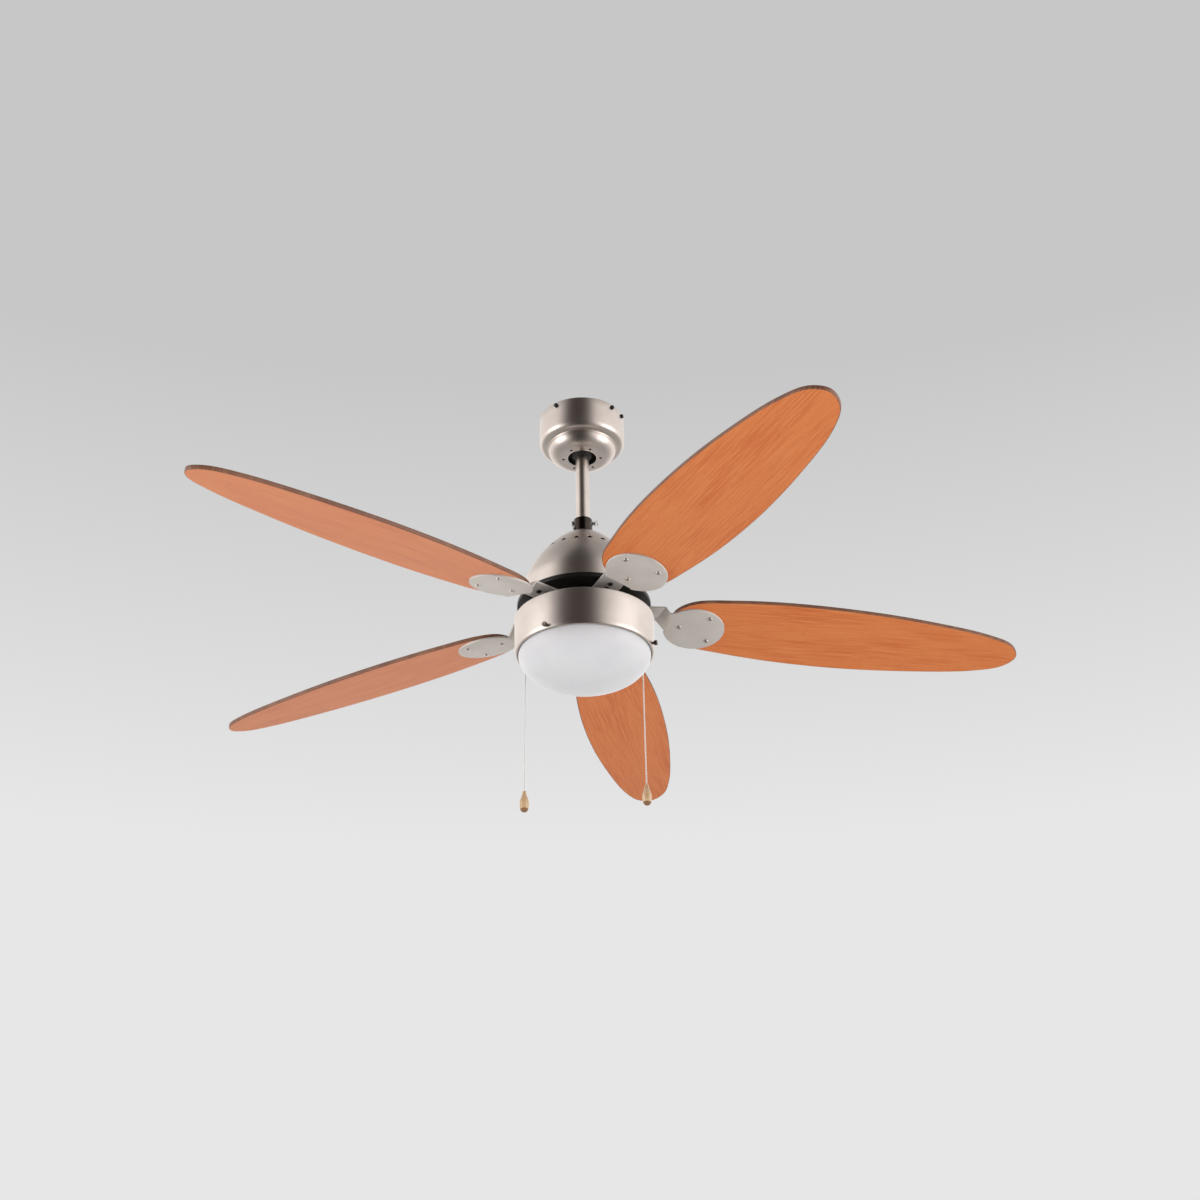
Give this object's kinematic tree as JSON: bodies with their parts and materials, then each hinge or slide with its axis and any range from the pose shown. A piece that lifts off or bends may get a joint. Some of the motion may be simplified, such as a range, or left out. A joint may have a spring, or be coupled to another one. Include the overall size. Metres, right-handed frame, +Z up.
{
  "type": "ceiling fan with light",
  "caption": "Ceiling fan with long oval wooden blades, domed brushed-nickel motor cover, drum housing with an opal glass bowl light and bead pull chains.",
  "frame": {"origin": "middle of the ceiling bracket's upper face, on the fan's axis, at the ceiling plane", "axes": "+Z up out of the ceiling side along the fan's axis; the down rod hangs along -Z"},
  "size_m": [1.2417, 1.2523, 0.6328],
  "materials": {
    "nickel": "satin brushed nickel",
    "plated_steel": "zinc-plated steel",
    "black_enamel": "semi-gloss black enamel",
    "black_plastic": "moulded, matt",
    "nylon": "moulded, natural",
    "cast_alloy": "as cast",
    "laminations": "stacked electrical steel",
    "copper_wire": "varnished copper wire",
    "cherry_wood": "satin cherry foil on fibreboard, dark edges",
    "pale_wood": "turned, waxed",
    "white_paint": "gloss white",
    "porcelain": "glazed",
    "dark_nickel": "polished black nickel",
    "frosted_lamp": "inside frosted",
    "opal_glass": "satin opal"
  },
  "bodies": {
    "ceiling_mount": {"ceiling_bracket": "black_enamel", "canopy": "nickel", "canopy_screw_1": "black_enamel", "canopy_screw_2": "black_enamel", "canopy_screw_3": "black_enamel", "canopy_screw_4": "black_enamel", "terminal_block": "nylon"},
    "hanging": {"hanger_ball": "black_plastic", "ball_pin": "plated_steel", "downrod": "nickel", "yoke_collar": "dark_nickel", "clevis_pin": "plated_steel", "clevis_clip": "plated_steel", "collar_screw": "plated_steel", "motor_shaft": "plated_steel", "upper_bearing": "plated_steel", "lower_bearing": "plated_steel", "stator_core": "laminations", "upper_winding": "copper_wire", "lower_winding": "copper_wire", "dome_cover": "nickel", "mount_plate": "plated_steel", "shaft_nut": "plated_steel", "switch_housing": "nickel", "capacitor": "black_plastic", "fan_switch": "nylon", "light_switch": "nylon", "fan_chain_guide": "nickel", "light_chain_guide": "nickel", "light_pan": "white_paint", "lamp_holder_1": "porcelain", "lamp_holder_2": "porcelain", "lamp_1": "frosted_lamp", "lamp_2": "frosted_lamp", "glass_bowl": "opal_glass"},
    "rotor": {"rotor_shell": "cast_alloy", "rotor_cage": "laminations", "rotor_flange": "black_enamel", "blade_iron_1": "nickel", "blade_iron_2": "nickel", "blade_iron_3": "nickel", "blade_iron_4": "nickel", "blade_iron_5": "nickel", "blade_1": "cherry_wood", "blade_2": "cherry_wood", "blade_3": "cherry_wood", "blade_4": "cherry_wood", "blade_5": "cherry_wood"},
    "fan_pull": {"fan_chain_top": "nickel"},
    "fan_pendant": {"fan_chain": "nickel", "fan_chain_fob": "pale_wood"},
    "fan_spool": {"fan_switch_spool": "black_plastic"},
    "light_pull": {"light_chain_top": "nickel"},
    "light_pendant": {"light_chain": "nickel", "light_chain_fob": "pale_wood"},
    "light_spool": {"light_switch_spool": "black_plastic"},
    "thumb_screw_1_body": {"thumb_screw_1": "nickel"},
    "thumb_screw_2_body": {"thumb_screw_2": "nickel"},
    "thumb_screw_3_body": {"thumb_screw_3": "nickel"}
  },
  "joints": [
    {"name": "hanger_tilt", "type": "hinge", "parent": "ceiling_mount", "child": "hanging", "pos_m": [0, 0, -0.05], "axis": [0.8572, -0.515, 0], "range_deg": [-15, 15]},
    {"name": "rotor_spin", "type": "hinge", "parent": "hanging", "child": "rotor", "pos_m": [0, 0, -0.35], "axis": [0, 0, 1], "continuous": true},
    {"name": "fan_chain_pull", "type": "slide", "parent": "hanging", "child": "fan_pull", "axis": [0, 0, -1], "range_m": [0, 0.012], "stiffness_N_per_m": 300, "springref_m": -0.003},
    {"name": "fan_chain_swing", "type": "hinge", "parent": "fan_pull", "child": "fan_pendant", "pos_m": [0.08715, 0.06712, -0.396], "axis": [0.7923, 0.6101, 0], "range_deg": [-50, 50]},
    {"name": "fan_switch_turn", "type": "hinge", "parent": "hanging", "child": "fan_spool", "pos_m": [0.06338, 0.04881, -0.3836], "axis": [0, 0, 1], "range_deg": [0, 90]},
    {"name": "light_chain_pull", "type": "slide", "parent": "hanging", "child": "light_pull", "axis": [0, 0, -1], "range_m": [0, 0.012], "stiffness_N_per_m": 300, "springref_m": -0.003},
    {"name": "light_chain_swing", "type": "hinge", "parent": "light_pull", "child": "light_pendant", "pos_m": [-0.08955, 0.06388, -0.396], "axis": [-0.8141, 0.5807, 0], "range_deg": [-50, 50]},
    {"name": "light_switch_turn", "type": "hinge", "parent": "hanging", "child": "light_spool", "pos_m": [-0.06513, 0.04646, -0.3836], "axis": [0, 0, 1], "range_deg": [0, 90]},
    {"name": "thumb_screw_1_back_off", "type": "slide", "parent": "hanging", "child": "thumb_screw_1_body", "axis": [-0.5225, -0.8526, 0], "range_m": [0, 0.0035]},
    {"name": "thumb_screw_2_back_off", "type": "slide", "parent": "hanging", "child": "thumb_screw_2_body", "axis": [0.9613, -0.2756, 0], "range_m": [0, 0.0035]},
    {"name": "thumb_screw_3_back_off", "type": "slide", "parent": "hanging", "child": "thumb_screw_3_body", "axis": [-0.3584, 0.9336, 0], "range_m": [0, 0.0035]}
  ],
  "couplings": [
    {"joint": "fan_switch_turn", "follows": "fan_chain_pull", "rad_per_m": 130},
    {"joint": "light_switch_turn", "follows": "light_chain_pull", "rad_per_m": 130}
  ]
}
